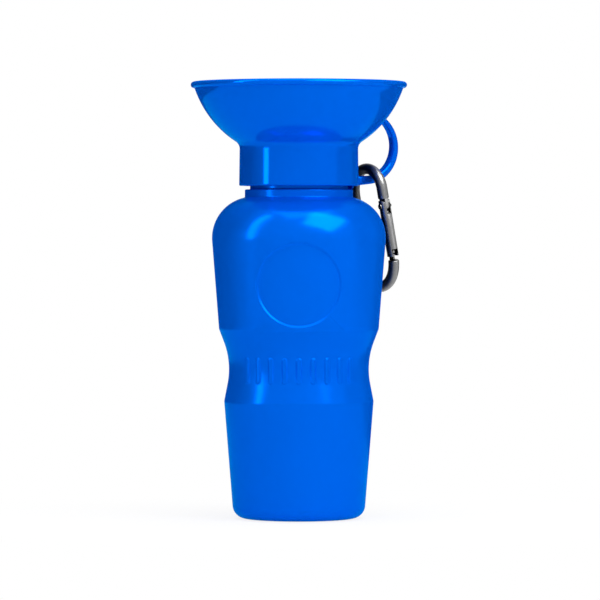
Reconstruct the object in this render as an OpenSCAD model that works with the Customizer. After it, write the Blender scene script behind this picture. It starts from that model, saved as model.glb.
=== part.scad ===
// Dog travel water bottle: squeeze bottle, screw-on drinking bowl, lift valve and carabiner.
// Millimetres. The bottle's axis is Z, and it stands on Z = 0.

/* [Bottle body] */
// Radius of the circle that the bottle stands on
foot_r = 28.4; // [26:0.1:32]
// Rounding between the base and the side
foot_fillet = 5; // [2:0.5:8]
// Height of the hollow under the base
pushup_h = 3.5; // [1:0.5:6]
// Width of the flat standing ring
foot_ring_w = 5.4; // [2:0.1:10]
// Radius at the lower crease, where the grip starts
low_crease_r = 37.35; // [36:0.05:40]
// Height of the lower crease
low_crease_z = 58.5; // [50:0.5:62]
// Smallest radius of the grip
waist_r = 34.95; // [33:0.05:36]
// Height of the grip's smallest radius
waist_z = 74.5; // [72:0.5:78]
// Radius of the grip's curve, seen from the side
waist_curve_r = 38; // [30:1:60]
// Radius at the upper crease, where the grip ends
high_crease_r = 39.9; // [38.5:0.05:41]
// Height of the upper crease
high_crease_z = 94.5; // [90:0.5:100]
// Largest radius of the body, under the shoulder
body_r = 43.4; // [42:0.1:44]
// Height at which the shoulder starts to curve in
shoulder_z = 140; // [130:1:145]
// Radius of the shoulder's curve, seen from the side
shoulder_curve_r = 20.7; // [19:0.1:21.5]
// Wall of the blown body
body_wall = 1.5; // [1:0.1:2]

/* [Panel and grip] */
// Diameter of the round recessed panel on the front
panel_d = 41; // [20:1:42]
// Height of the panel's centre
panel_z = 117; // [115:1:119]
// Depth of the panel
panel_depth = 0.6; // [0.2:0.1:0.8]
// Number of raised grip ribs on the front of the waist
rib_count = 9; // [3:1:11]
// Width of one grip rib
rib_w = 2.6; // [1.5:0.1:4]
// Height of one grip rib
rib_h = 13; // [8:1:15]
// Angle between two grip ribs
rib_step = 11.5; // [8:0.5:14]
// How far a rib stands out at its ends
rib_lift = 0.35; // [0.2:0.05:0.8]

/* [Neck and thread] */
// Outer radius of the neck between the threads
neck_r = 24.4; // [23.5:0.1:25]
// Wall of the neck
neck_wall = 1.7; // [1.2:0.1:2]
// How far the ring at the foot of the neck stands out from it
ring_out = 2.6; // [1.6:0.1:2.8]
// Thickness of that ring
ring_h = 3; // [1.5:0.1:4]
// How far the shoulder's edge lies outside the neck
neck_foot_out = 1.2; // [0.5:0.1:2]
// Rise from the shoulder's edge to that ring
ring_rise = 0.75; // [0.25:0.05:2]
// Length of the neck above the ring
neck_l = 15.75; // [15:0.25:18]
// Pitch of the screw thread
pitch = 5; // [4.6:0.1:5.4]
// Turns of thread on the neck
neck_turns = 1.5; // [1:0.1:1.6]
// How far the neck's thread stands out
thread_depth = 1.9; // [1.2:0.1:2]
// Height above the ring at which the thread would pass the front of its first turn
thread_rise = 4.6; // [4:0.1:5]

/* [Bowl lid] */
// Outer radius of the rim of the bowl
rim_r = 54; // [50:0.5:58]
// Height of the bowl's rim above its drinking floor
bowl_depth = 33; // [28:1:38]
// Radius of the bowl's curve, seen from the side
bowl_curve_r = 51.85; // [50:0.05:60]
// Wall of the bowl
bowl_wall = 2; // [1.5:0.1:2.6]
// How far below the drinking floor the bowl's curve would end if it ran on
bowl_sink = 3.5; // [2:0.1:5]
// Radius of the round bead at the rim
bead_r = 1.6; // [1:0.1:2]
// Rounding of the rim's inner edge
lip_r = 0.9; // [0.5:0.1:1.2]
// Clearance between the crest of the neck's thread and the collar's bore
collar_clearance = 0.9; // [0.6:0.05:2]
// Wall of the collar
collar_wall = 2.4; // [1.8:0.1:2.6]
// Draft of the collar, as the radius lost from its edge to the bowl
collar_draft = 0.25; // [0:0.05:0.5]
// Gap between the collar's edge and the ring on the neck
collar_gap = 1.75; // [0.5:0.05:3]
// Thickness of the bowl's floor
floor_t = 2.3; // [1.8:0.1:3]
// Concave fillet between the collar and the bowl
collar_fillet = 2; // [1:0.5:4]

/* [Valve] */
// Radius of the drinking hole in the bowl's floor
hole_r = 7; // [5:0.1:8]
// Length of the narrow seat at the top of that hole
seat_h = 1.6; // [1.2:0.1:1.8]
// Wall of the spigot under the bowl's floor
spigot_wall = 1.8; // [1.6:0.1:2.4]
// Width of the water way round the plug once the bowl is lifted
flow_gap = 1.2; // [0.8:0.1:2]
// Length of the spigot below the ceiling of the lid
spigot_l = 12.5; // [11:0.5:13]
// Depth of the chamber in the valve stem below the spigot
chamber_drop = 6.5; // [5:0.1:8]
// Thickness of the thin walls of the valve stem
stem_wall = 1.5; // [1.2:0.1:2]
// Radius of the post that carries the plug
post_r = 2.4; // [1.8:0.1:3.2]
// Number of fins that carry the post
fin_count = 3; // [2:1:5]
// Thickness of one fin
fin_t = 1.4; // [1:0.1:2]
// Thickness of the gasket in the lid
gasket_t = 1.5; // [1:0.1:2]
// Section radius of the seal ring on the plug
plug_ring_r = 0.5; // [0.4:0.05:0.6]
// Section radius of the seal ring on the spigot
spigot_ring_r = 0.65; // [0.5:0.05:0.7]
// Outer radius of the dip tube
tube_r = 4; // [3:0.1:5]
// Wall of the dip tube
tube_wall = 0.95; // [0.6:0.05:1.2]
// Height of the tube's open end above the bottle's floor
tube_lift = 4; // [2:0.5:10]

/* [Loop] */
// Direction of the loop, turned from the right towards the back
loop_azimuth = 30; // [0:1:45]
// Width of the loop's strap
loop_w = 5.5; // [4:0.5:8]
// Outer radius of the loop's curve
loop_curve_r = 18.5; // [17:0.1:20]
// How far the loop reaches past the rim of the bowl
loop_out = 3; // [1:0.5:5]
// Thickness of the strap at its outermost point
loop_t = 3.4; // [2.5:0.1:4]
// Thickness of the strap where it leaves the collar
loop_foot_t = 4.2; // [3:0.1:5]
// Slope of the strap's underside at the collar
loop_foot_slope = 6; // [0:1:15]

/* [Carabiner] */
// Diameter of the carabiner's bar
bar_d = 5.5; // [4.5:0.1:6]
// Length of the carabiner, between the centres of its end bars
carabiner_l = 61; // [58:1:66]
// Distance from the swing axis to the middle of the spine
spine_u = 13.9; // [12:0.1:15]
// Distance from the swing axis to the middle of the gate
gate_u = 9.8; // [9:0.1:11]
// Radius of the large bend under the nose
nose_bend_r = 16; // [14:0.5:18]
// Direction that the carabiner faces, turned from the right towards the back
carabiner_azimuth = 36; // [30:1:38]
// Distance from the outside of the loop in to the bar where it hangs
hang_in = 17.4; // [16:0.1:19]
// Diameter of the gate's tube
gate_d = 5.8; // [5.2:0.1:6]
// Distance from the top bar down to the gate's pin
pin_drop = 19; // [17:0.5:21]
// Length of the gate below its pin
gate_l = 25.8; // [23:0.1:26]
// Gap between the end of the gate and the nose
nose_gap = 2.6; // [1.5:0.1:3.5]
// Thickness of the tongue inside the gate's fork
tongue_t = 2.2; // [1.6:0.1:2.6]
// Radius of the gate's pin
pin_r = 0.9; // [0.7:0.05:1.1]
// Coils in the gate's spring
spring_turns = 9; // [6:1:12]

/* [Fits] */
// Clearance of a part that slides or turns in another
running_gap = 0.05; // [0.02:0.01:0.1]
// Clearance of a loose plastic part in another
loose_gap = 0.3; // [0.2:0.05:0.5]
// Clearance between parts that hang or swing past each other
swing_gap = 0.3; // [0.2:0.05:0.5]

/* [Hidden] */
$fn = 96;

// Points of an arc round c, from angle a0 to a1.
function arc(c, r, a0, a1, n) = [for (i = [0:n]) c + r * dir2(a0 + (a1 - a0) * i / n)];
function dir2(a) = [cos(a), sin(a)];
function left_of(d) = [-d[1], d[0]];
function unit(v) = v / norm(v);
// Angle on the circle (c, r) at which a line from p touches it; side is 1 or -1.
function touch(c, r, p, side) =
    atan2(p[1] - c[1], p[0] - c[0]) + side * acos(r / norm(p - c));
// An open outline moved by t to its left, with mitred corners.
function moved(p, t) = [for (i = [0:len(p) - 1])
    let (a = left_of(unit(p[max(i, 1)] - p[max(i, 1) - 1])),
         b = left_of(unit(p[min(i, len(p) - 2) + 1] - p[min(i, len(p) - 2)])))
    p[i] + t * (a + b) / (1 + a * b)];
function reversed(p) = [for (i = [len(p) - 1:-1:0]) p[i]];

// ---- Bottle outline, from the middle of the base up to the neck
foot_lean = atan((low_crease_r - foot_r - foot_fillet) / (low_crease_z - foot_fillet));
foot_c = [foot_r, foot_fillet];
foot_touch = touch(foot_c, foot_fillet, [low_crease_r, low_crease_z], -1);
pushup_r = foot_r - foot_ring_w;
pushup_curve_r = (pow(pushup_r, 2) + pow(pushup_h, 2)) / (2 * pushup_h);
pushup_half = asin(pushup_r / pushup_curve_r);
waist_c = [waist_r + waist_curve_r, waist_z];
shoulder_c = [body_r - shoulder_curve_r, shoulder_z];
neck_foot_r = neck_r + neck_foot_out;
ring_r = neck_r + ring_out;
shoulder_end = acos((neck_foot_r - shoulder_c[0]) / shoulder_curve_r);
bore_r = neck_r - neck_wall;
bore_angle = acos((bore_r - shoulder_c[0]) / (shoulder_curve_r - body_wall));
function body_outline(last_angle) = concat(
    arc([0, pushup_h - pushup_curve_r], pushup_curve_r, 90, 90 - pushup_half, 8),
    arc(foot_c, foot_fillet, -90, foot_touch, 8),
    [[low_crease_r, low_crease_z]],
    arc(waist_c, waist_curve_r,
        touch(waist_c, waist_curve_r, [low_crease_r, low_crease_z], -1) + 360,
        touch(waist_c, waist_curve_r, [high_crease_r, high_crease_z], 1), 10),
    [[high_crease_r, high_crease_z]],
    arc(shoulder_c, shoulder_curve_r,
        touch(shoulder_c, shoulder_curve_r, [high_crease_r, high_crease_z], 1),
        last_angle, 16));
side_touch = touch(shoulder_c, shoulder_curve_r, [high_crease_r, high_crease_z], 1);
shoulder_low = shoulder_c + shoulder_curve_r * dir2(side_touch);
function upper_side_r(z) = high_crease_r
    + (shoulder_low[0] - high_crease_r) * (z - high_crease_z) / (shoulder_low[1] - high_crease_z);

// ---- Heights up the neck and the lid
neck_foot_z = shoulder_z + shoulder_curve_r * sin(shoulder_end);
ring_z = neck_foot_z + ring_rise;
neck_z = ring_z + ring_h;
mouth_z = neck_z + neck_l;
flange_t = 1.2;
gasket_z = mouth_z + flange_t;
ceiling_z = gasket_z + gasket_t;
floor_z = ceiling_z + floor_t;
rim_z = floor_z + bowl_depth;
collar_z = neck_z + collar_gap;

// ---- Thread: the same helix on both parts, the lid's ridge under the neck's
thread_crest_r = neck_r + thread_depth;
neck_thread_z = neck_z + thread_rise;
ridge_root_w = 2.6;
ridge_crest_w = 1.2;
collar_bore_r = thread_crest_r + collar_clearance;
collar_top_r = collar_bore_r + collar_wall;
collar_r = collar_top_r + collar_draft;
lid_crest_r = neck_r + 2 * loose_gap;
lid_ridge_root_w = 2.8;
lid_ridge_crest_w = 1.4;
// Half the width of each ridge where the other's crest lies, plus the flank's clearance
ridge_drop = (ridge_width(ridge_root_w, ridge_crest_w, neck_r, thread_crest_r, lid_crest_r)
    + lid_ridge_crest_w) / 2 + loose_gap;
function ridge_width(root_w, crest_w, root_r, crest_r, r) =
    root_w + (crest_w - root_w) * (r - root_r) / (crest_r - root_r);
neck_thread_start = 4;
lid_thread_start = 104;
lid_thread_turns = 1;
run_out = 20;

// A ridge along a helix, tapering into its wall at both ends.
module ridge(root_r, crest_r, root_w, crest_w, z0, start, turns) {
    steps = round(turns * 36);
    inward = sign(crest_r - root_r);
    base_r = root_r - inward * 0.5;
    function rise(i) = min(1, (min(i, steps - i) * 360 * turns / steps + 3) / run_out);
    function ring_at(i) =
        let (a = start + 360 * turns * i / steps, z = z0 + pitch * a / 360,
             top_r = root_r + (crest_r - root_r) * rise(i))
        [for (q = [[base_r, -root_w / 2], [top_r, -crest_w / 2],
                   [top_r, crest_w / 2], [base_r, root_w / 2]])
            [q[0] * cos(a), q[0] * sin(a), z + q[1]]];
    points = [for (i = [0:steps]) each ring_at(i)];
    turn = inward > 0 ? [3, 2, 1, 0] : [0, 1, 2, 3];
    faces = concat(
        [[turn[0], turn[1], turn[2], turn[3]]],
        [[for (k = [3:-1:0]) 4 * steps + turn[k]]],
        [for (i = [0:steps - 1]) for (k = [0:3])
            let (a = turn[k], b = turn[(k + 1) % 4])
            each [[4 * i + b, 4 * i + a, 4 * i + 4 + a], [4 * i + b, 4 * i + 4 + a, 4 * i + 4 + b]]]);
    polyhedron(points, faces);
}

module bottle() {
    outer = body_outline(shoulder_end);
    inner = moved(body_outline(bore_angle), body_wall);
    color([0.0, 0.37, 0.92]) union() {
        difference() {
            rotate_extrude() polygon(concat(
                outer, [[bore_r, neck_foot_z]], reversed([for (p = inner) [max(p[0], 0), p[1]]])));
            panel_cut();
        }
        for (i = [0:rib_count - 1])
            rotate([0, 0, -90 + rib_step * (i - (rib_count - 1) / 2)]) grip_rib();
    }
}

// The neck is blown in one with the body; its own solid starts at the shoulder's edge.
module bottle_neck() {
    color([0.0, 0.37, 0.92]) union() {
        rotate_extrude() polygon([
            [bore_r, neck_foot_z], [neck_foot_r, neck_foot_z], [neck_foot_r, ring_z], [ring_r, ring_z],
            [ring_r, neck_z], [neck_r, neck_z], [neck_r, mouth_z], [bore_r, mouth_z]]);
        ridge(neck_r, thread_crest_r, ridge_root_w, ridge_crest_w, neck_thread_z, neck_thread_start, neck_turns);
    }
}

// The skin between the side and a depth below it, inside the panel's round outline.
module panel_cut() {
    low_z = panel_z - panel_d / 2 - 1;
    high_z = panel_z + panel_d / 2 + 1;
    intersection() {
        rotate_extrude() polygon([
            [upper_side_r(low_z) - panel_depth, low_z], [upper_side_r(low_z) + 2, low_z],
            [upper_side_r(high_z) + 2, high_z], [upper_side_r(high_z) - panel_depth, high_z]]);
        translate([0, 0, panel_z]) rotate([90, 0, 0]) cylinder(d = panel_d, h = body_r + 5);
    }
}

// One upright rib with round ends, on the waist at +X.
module grip_rib() {
    end_r = waist_r + waist_curve_r - sqrt(pow(waist_curve_r, 2) - pow(rib_h / 2, 2));
    half = (rib_h - rib_w) / 2;
    translate([waist_r - body_wall / 2, 0, waist_z]) rotate([0, 90, 0])
        linear_extrude(end_r + rib_lift - waist_r + body_wall / 2) {
            for (side = [-1, 1]) translate([side * half, 0]) circle(d = rib_w);
            square([2 * half, rib_w], center = true);
        }
}

// ---- Bowl lid
bead_c = [rim_r - bead_r, rim_z - bead_r];
// The bowl's outside ends on the bead's underside
bowl_end = bead_c + bead_r * dir2(-100);
bowl_c_z = floor_z - bowl_sink + bowl_curve_r - bowl_wall;
bowl_rise = bowl_c_z - bowl_end[1];
bowl_c = [bowl_end[0] - sqrt(pow(bowl_curve_r, 2) - pow(bowl_rise, 2)), bowl_c_z];
fillet_c = [collar_top_r + collar_fillet,
            bowl_c[1] - sqrt(pow(bowl_curve_r + collar_fillet, 2)
                             - pow(collar_top_r + collar_fillet - bowl_c[0], 2))];
fillet_angle = atan2(bowl_c[1] - fillet_c[1], bowl_c[0] - fillet_c[0]);
bowl_low_angle = fillet_angle - 180;
bowl_high_angle = -asin(bowl_rise / bowl_curve_r);
bowl_inner_r = bowl_curve_r - bowl_wall;
bowl_floor_angle = -asin((bowl_c[1] - floor_z) / bowl_inner_r);
bowl_lip_angle = -asin((bowl_c[1] - bead_c[1]) / bowl_inner_r);
chamber_r = hole_r + flow_gap;
spigot_r = chamber_r + spigot_wall;
spigot_z = ceiling_z - spigot_l;
spigot_groove_r = spigot_r + loose_gap - 2 * spigot_ring_r - 2 * running_gap;
groove_rise = 1.2;
spigot_groove_z = spigot_z + groove_rise;
seat_chamfer = 0.4;
spigot_groove_h = 2 * spigot_ring_r + 4 * running_gap;

module bowl_lid() {
    color([0.0, 0.37, 0.92]) union() {
        difference() {
            rotate_extrude() polygon(concat(
                [[collar_r, collar_z]],
                arc(fillet_c, collar_fillet, 180, fillet_angle, 5),
                arc(bowl_c, bowl_curve_r, bowl_low_angle, bowl_high_angle, 14),
                arc(bead_c, bead_r, -80, 90, 8),
                arc([bowl_c[0] + bowl_inner_r * cos(bowl_lip_angle) + lip_r, rim_z - lip_r], lip_r, 90, 180, 4),
                reversed(arc(bowl_c, bowl_inner_r, bowl_floor_angle, bowl_lip_angle, 14)),
                [[hole_r, floor_z], [hole_r, floor_z - seat_h], [chamber_r, floor_z - seat_h - seat_chamfer],
                 [chamber_r, spigot_z], [spigot_r, spigot_z], [spigot_r, ceiling_z],
                 [collar_bore_r, ceiling_z], [collar_bore_r, collar_z]]));
            translate([0, 0, spigot_groove_z]) ring_cut(spigot_groove_r, spigot_r + 1, spigot_groove_h);
        }
        ridge(collar_bore_r, lid_crest_r, lid_ridge_root_w, lid_ridge_crest_w,
              neck_thread_z - ridge_drop, lid_thread_start, lid_thread_turns);
        rotate([0, 0, loop_azimuth]) loop();
    }
}

module ring_cut(inner_r, outer_r, h) {
    difference() {
        cylinder(r = outer_r, h = h);
        translate([0, 0, -1]) cylinder(r = inner_r, h = h + 2);
    }
}

// The carrying loop lies in a plane through the axis: collar, curve, underside of the bowl.
loop_reach = rim_r + loop_out;
loop_rise = 1;
loop_overlap = 1.1;
loop_c = [loop_reach - loop_curve_r, collar_z + loop_curve_r + loop_rise];
loop_gap_r = (2 * loop_curve_r - loop_t - loop_foot_t + loop_overlap) / 2;
loop_gap_c = [loop_reach - loop_t - loop_gap_r, loop_c[1] - loop_curve_r + loop_foot_t + loop_gap_r];
loop_floor_z = loop_gap_c[1] - loop_gap_r;
module loop() {
    root_r = collar_r - collar_wall / 2;
    tangent = loop_c + loop_curve_r * dir2(-90 + loop_foot_slope);
    rotate([90, 0, 0]) translate([0, 0, -loop_w / 2]) linear_extrude(loop_w) difference() {
        union() {
            translate(loop_c) circle(r = loop_curve_r);
            polygon([[root_r, tangent[1] - (tangent[0] - root_r) * tan(loop_foot_slope)],
                     tangent, loop_c, [root_r, loop_c[1]]]);
        }
        translate(loop_gap_c) circle(r = loop_gap_r);
        translate([0, loop_floor_z]) square([loop_gap_c[0], 4 * loop_curve_r]);
        translate(bowl_c) circle(r = bowl_curve_r - bowl_wall / 2);
    }
}

// ---- Valve stem, seated on the bottle's mouth; its plug shuts the bowl's hole
socket_r = spigot_r + loose_gap;
skirt_r = bore_r - 2 * running_gap;
flange_inset = 0.2;
flange_r = neck_r - flange_inset;
plate_z = spigot_z - chamber_drop;
web_rise = 1;
web_z = spigot_z + web_rise;
nipple_wall = 1;
nipple_r = tube_r - tube_wall - running_gap;
nipple_bore_r = nipple_r - nipple_wall;
nipple_l = 6;
fin_drop = 0.7;
fin_top_z = spigot_z - fin_drop;
plug_gap = 0.4;
plug_r = hole_r - plug_gap;
plug_under_l = 2;
post_lift = 1.5;
plug_groove_r = hole_r - 2 * plug_ring_r - 2 * running_gap;
plug_ring_z = floor_z - seat_h / 2;
plug_groove_h = 2 * plug_ring_r + 2 * running_gap;

module valve_stem() {
    plug_low_z = floor_z - seat_h - plug_under_l;
    color([0.93, 0.94, 0.95]) union() {
        rotate_extrude() polygon([
            [nipple_bore_r, plate_z - nipple_l], [nipple_r, plate_z - nipple_l], [nipple_r, plate_z],
            [socket_r + stem_wall, plate_z], [socket_r + stem_wall, web_z], [skirt_r, web_z],
            [skirt_r, mouth_z], [flange_r, mouth_z], [flange_r, gasket_z],
            [skirt_r - stem_wall, gasket_z], [skirt_r - stem_wall, web_z + stem_wall],
            [socket_r + stem_wall, web_z + stem_wall], [socket_r + stem_wall, gasket_z],
            [socket_r, gasket_z], [socket_r, plate_z + stem_wall],
            [nipple_bore_r, plate_z + stem_wall]]);
        rotate_extrude() polygon([
            [0, plate_z + stem_wall + post_lift], [post_r, plate_z + stem_wall + post_lift],
            [post_r, plug_low_z - plug_under_l], [plug_r, plug_low_z],
            [plug_r, plug_ring_z - plug_groove_h / 2], [plug_groove_r, plug_ring_z - plug_groove_h / 2],
            [plug_groove_r, plug_ring_z + plug_groove_h / 2], [plug_r, plug_ring_z + plug_groove_h / 2],
            [plug_r, floor_z], [0, floor_z]]);
        for (i = [0:fin_count - 1]) rotate([0, 0, 360 * i / fin_count])
            translate([nipple_bore_r + running_gap, -fin_t / 2, plate_z + stem_wall / 2])
                cube([socket_r + stem_wall / 2 - nipple_bore_r, fin_t, fin_top_z - plate_z - stem_wall / 2]);
    }
}

module dip_tube() {
    low_z = pushup_h + body_wall + tube_lift;
    color([0.88, 0.9, 0.92]) difference() {
        translate([0, 0, low_z]) cylinder(r = tube_r, h = plate_z - low_z);
        translate([0, 0, low_z - 1]) cylinder(r = tube_r - tube_wall, h = plate_z - low_z + 2);
        translate([0, 0, low_z]) rotate([0, 45, 0])
            translate([-3 * tube_r, -2 * tube_r, -4 * tube_r]) cube([6 * tube_r, 4 * tube_r, 4 * tube_r]);
    }
}

module seal_ring(r, section_r) {
    rotate_extrude() translate([r - section_r, 0]) circle(r = section_r);
}

module plug_ring() {
    color([0.12, 0.13, 0.15]) translate([0, 0, plug_ring_z]) seal_ring(hole_r - running_gap, plug_ring_r);
}

module spigot_ring() {
    color([0.12, 0.13, 0.15]) translate([0, 0, spigot_groove_z + spigot_groove_h / 2])
        seal_ring(socket_r - running_gap, spigot_ring_r);
}

module lid_gasket() {
    color([0.9, 0.92, 0.95]) translate([0, 0, gasket_z])
        ring_cut(skirt_r - 2 * stem_wall, collar_bore_r - flange_inset, gasket_t);
}

// ---- Carabiner, drawn flat: x towards the gate, y up, the swing axis through the origin
// The bar sags under the middle of its bend, so it clears the strap's two edges
hang_r = loop_reach - hang_in;
bar_sag = gate_u - sqrt(pow(gate_u, 2) - pow(loop_w / 2 + swing_gap, 2));
hang_rise = loop_gap_r - sqrt(pow(loop_gap_r, 2) - pow(hang_r - loop_gap_c[0], 2));
hang_z = loop_floor_z + hang_rise + bar_d / 2 + bar_sag + swing_gap;
hang_point = [hang_r * cos(loop_azimuth), hang_r * sin(loop_azimuth), hang_z];
top_plane_r = hang_r * cos(carabiner_azimuth - loop_azimuth);
// It leans on the body far enough out for the gate to open past the body's widest place
lean = atan((body_r + gate_d / 2 + swing_gap - top_plane_r) / (hang_z - shoulder_z));
spine_bend_r = spine_u - (nose_bend_r - gate_u);
arm_gap = 0.7;
arm_end = pin_drop - gate_d / 2 - arm_gap;
nose_bend_c = [gate_u - nose_bend_r, -carabiner_l + nose_bend_r];
nose_top = pin_drop + gate_l + nose_gap;
nose_angle = -asin((nose_top + nose_bend_c[1]) / nose_bend_r);
tongue_inset = 0.3;
tongue_r = bar_d / 2 - tongue_inset;
fork_w = tongue_t + 4 * running_gap;
fork_floor_gap = 1.6;
fork_depth = tongue_r + fork_floor_gap;
gate_wall = 1;
gate_bore_r = gate_d / 2 - gate_wall;
latch_r = 0.75;
latch_head_r = 1.5;
latch_head_l = 1.2;
gate_hook_t = 1.2;
latch_slack = 0.4;
latch_head_drop = gate_l - gate_hook_t - latch_slack - latch_head_l;
gate_web_t = 1;
bore_end = latch_head_drop - latch_slack * 2 - gate_web_t;
latch_root_l = 3;

module in_carabiner() {
    translate(hang_point) rotate([90 + lean, 0, carabiner_azimuth - 90]) children();
}

module bend(c, r, a0, a1) {
    translate([c[0], c[1], 0]) rotate([0, 0, a0])
        rotate_extrude(angle = a1 - a0) translate([r, 0]) circle(d = bar_d);
}

module upright_bar(u, low, high) {
    translate([u, low, 0]) rotate([-90, 0, 0]) cylinder(d = bar_d, h = high - low);
}

module carabiner_body() {
    color([0.42, 0.42, 0.43]) in_carabiner() difference() {
        union() {
            bend([0, -gate_u], gate_u, 0, 90);
            bend([0, -spine_u], spine_u, 90, 180);
            upright_bar(gate_u, -arm_end, -gate_u);
            upright_bar(-spine_u, -carabiner_l + spine_bend_r, -spine_u);
            bend([-spine_u + spine_bend_r, -carabiner_l + spine_bend_r], spine_bend_r, 180, 270);
            bend(nose_bend_c, nose_bend_r, -90, nose_angle);
            translate([gate_u, -pin_drop, -tongue_t / 2]) {
                cylinder(r = tongue_r, h = tongue_t);
                translate([-tongue_r, 0, 0]) cube([2 * tongue_r, pin_drop - arm_end + 1, tongue_t]);
            }
        }
        translate([gate_u, -pin_drop, -bar_d]) cylinder(r = pin_r, h = 2 * bar_d);
        translate([gate_u, -nose_top - latch_root_l, 0]) rotate([-90, 0, 0])
            cylinder(r = latch_r, h = latch_root_l + 1);
    }
}

// The gate is drawn with its pin at the origin and its tube down -y.
gate_top_rise = 0.1;
module gate_shape() {
    top = gate_d / 2 + gate_top_rise;
    difference() {
        intersection() {
            translate([0, -gate_l, 0]) rotate([-90, 0, 0]) cylinder(d = gate_d, h = gate_l + top);
            union() {
                translate([0, 0, -gate_d]) cylinder(r = top, h = 2 * gate_d);
                translate([-gate_d, -gate_l - 1, -gate_d]) cube([2 * gate_d, gate_l + 1, 2 * gate_d]);
            }
        }
        translate([-gate_d, -fork_depth, -fork_w / 2]) cube([2 * gate_d, fork_depth + gate_d, fork_w]);
        translate([0, -bore_end, 0]) rotate([-90, 0, 0]) cylinder(r = gate_bore_r, h = bore_end);
        translate([0, 0, -gate_d]) cylinder(r = pin_r + running_gap, h = 2 * gate_d);
        translate([-latch_head_r - loose_gap, -latch_head_drop - latch_head_l - latch_slack,
                   -latch_head_r - loose_gap])
            cube([gate_d, latch_head_l + 3 * latch_slack, 2 * (latch_head_r + loose_gap)]);
        translate([-latch_r - loose_gap, -gate_l - 1, -latch_r - loose_gap])
            cube([gate_d, 3, 2 * (latch_r + loose_gap)]);
    }
}

module at_gate() {
    in_carabiner() translate([gate_u, -pin_drop, 0]) children();
}

module carabiner_gate() {
    color([0.5, 0.5, 0.51]) at_gate() gate_shape();
}

pin_head_t = 0.35;
pin_head_out = 0.5;

module gate_pin() {
    reach = gate_d / 2;
    color([0.6, 0.6, 0.6]) at_gate() {
        translate([0, 0, -reach - pin_head_t]) cylinder(r = pin_r, h = 2 * (reach + pin_head_t));
        for (side = [0, 1]) mirror([0, 0, side]) translate([0, 0, reach + running_gap])
            cylinder(r = pin_r + pin_head_out, h = pin_head_t);
    }
}

module latch_pin() {
    root = gate_l + nose_gap + latch_root_l;
    color([0.7, 0.7, 0.7]) at_gate() {
        translate([0, -root, 0]) rotate([-90, 0, 0])
            cylinder(r = latch_r, h = root - latch_head_drop - latch_head_l / 2);
        translate([0, -latch_head_drop - latch_head_l, 0]) rotate([-90, 0, 0])
            cylinder(r = latch_head_r, h = latch_head_l);
    }
}

plunger_gap = 0.25;
plunger_top = tongue_r + plunger_gap;
plunger_l = 2.6;
plunger_stem_l = 2.4;
plunger_r = gate_bore_r - running_gap;
spring_wire = 0.5;
spring_gap = 0.15;
spring_r = gate_bore_r - spring_wire / 2 - spring_gap;

module gate_plunger() {
    color([0.8, 0.8, 0.78]) at_gate() {
        translate([0, -plunger_top - plunger_l, 0]) rotate([-90, 0, 0])
            intersection() {
                cylinder(r = plunger_r, h = plunger_l);
                translate([-gate_d, -fork_w / 2 + running_gap, 0])
                    cube([2 * gate_d, fork_w - 2 * running_gap, plunger_l]);
            }
        translate([0, -plunger_top - plunger_l - plunger_stem_l, 0]) rotate([-90, 0, 0])
            cylinder(r = spring_r - spring_wire, h = plunger_stem_l + plunger_l / 2);
    }
}

// A closed tube swept along the spring's helix.
module gate_spring() {
    low = bore_end - spring_wire / 2 - running_gap;
    high = plunger_top + plunger_l + spring_wire / 2 + running_gap;
    sides = 6;
    steps = spring_turns * 12;
    function ring_at(i) =
        let (a = 360 * spring_turns * i / steps, y = -low + (low - high) * i / steps)
        [for (k = [0:sides - 1]) let (b = 360 * k / sides, r = spring_r + spring_wire / 2 * cos(b))
            [r * cos(a), y + spring_wire / 2 * sin(b), -r * sin(a)]];
    color([0.75, 0.75, 0.75]) at_gate() polyhedron(
        [for (i = [0:steps]) each ring_at(i)],
        concat(
            [[for (k = [sides - 1:-1:0]) k]],
            [[for (k = [0:sides - 1]) sides * steps + k]],
            [for (i = [0:steps - 1]) for (k = [0:sides - 1])
                let (a = sides * i + k, b = sides * i + (k + 1) % sides)
                each [[a, b, a + sides], [b, b + sides, a + sides]]]));
}

bottle();
bottle_neck();
bowl_lid();
valve_stem();
dip_tube();
plug_ring();
spigot_ring();
lid_gasket();
carabiner_body();
carabiner_gate();
gate_pin();
latch_pin();
gate_spring();
gate_plunger();
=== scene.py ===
"""Dog travel water bottle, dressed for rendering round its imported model."""
from math import acos, asin, atan2, cos, degrees, hypot, pi, radians, sin, sqrt, tan

import bmesh
import bpy
from bpy.props import FloatProperty, FloatVectorProperty, IntProperty, PointerProperty
from mathutils import Matrix, Vector


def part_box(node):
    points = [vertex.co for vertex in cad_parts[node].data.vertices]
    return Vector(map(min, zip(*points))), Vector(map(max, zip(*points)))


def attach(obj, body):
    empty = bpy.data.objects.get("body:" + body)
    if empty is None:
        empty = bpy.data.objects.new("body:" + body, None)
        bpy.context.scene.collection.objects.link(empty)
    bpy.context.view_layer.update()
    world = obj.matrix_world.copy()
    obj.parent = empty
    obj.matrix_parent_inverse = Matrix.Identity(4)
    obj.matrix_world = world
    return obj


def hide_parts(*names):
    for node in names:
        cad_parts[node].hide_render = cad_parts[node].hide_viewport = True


bl_info = {
    "name": "Dog Travel Bottle",
    "version": (1, 0, 0),
    "blender": (4, 5, 0),
    "location": "View3D > Sidebar > Bottle",
    "description": "Builds the squeeze bottle, its drinking bowl, the carabiner and the studio",
    "category": "Object",
}

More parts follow.
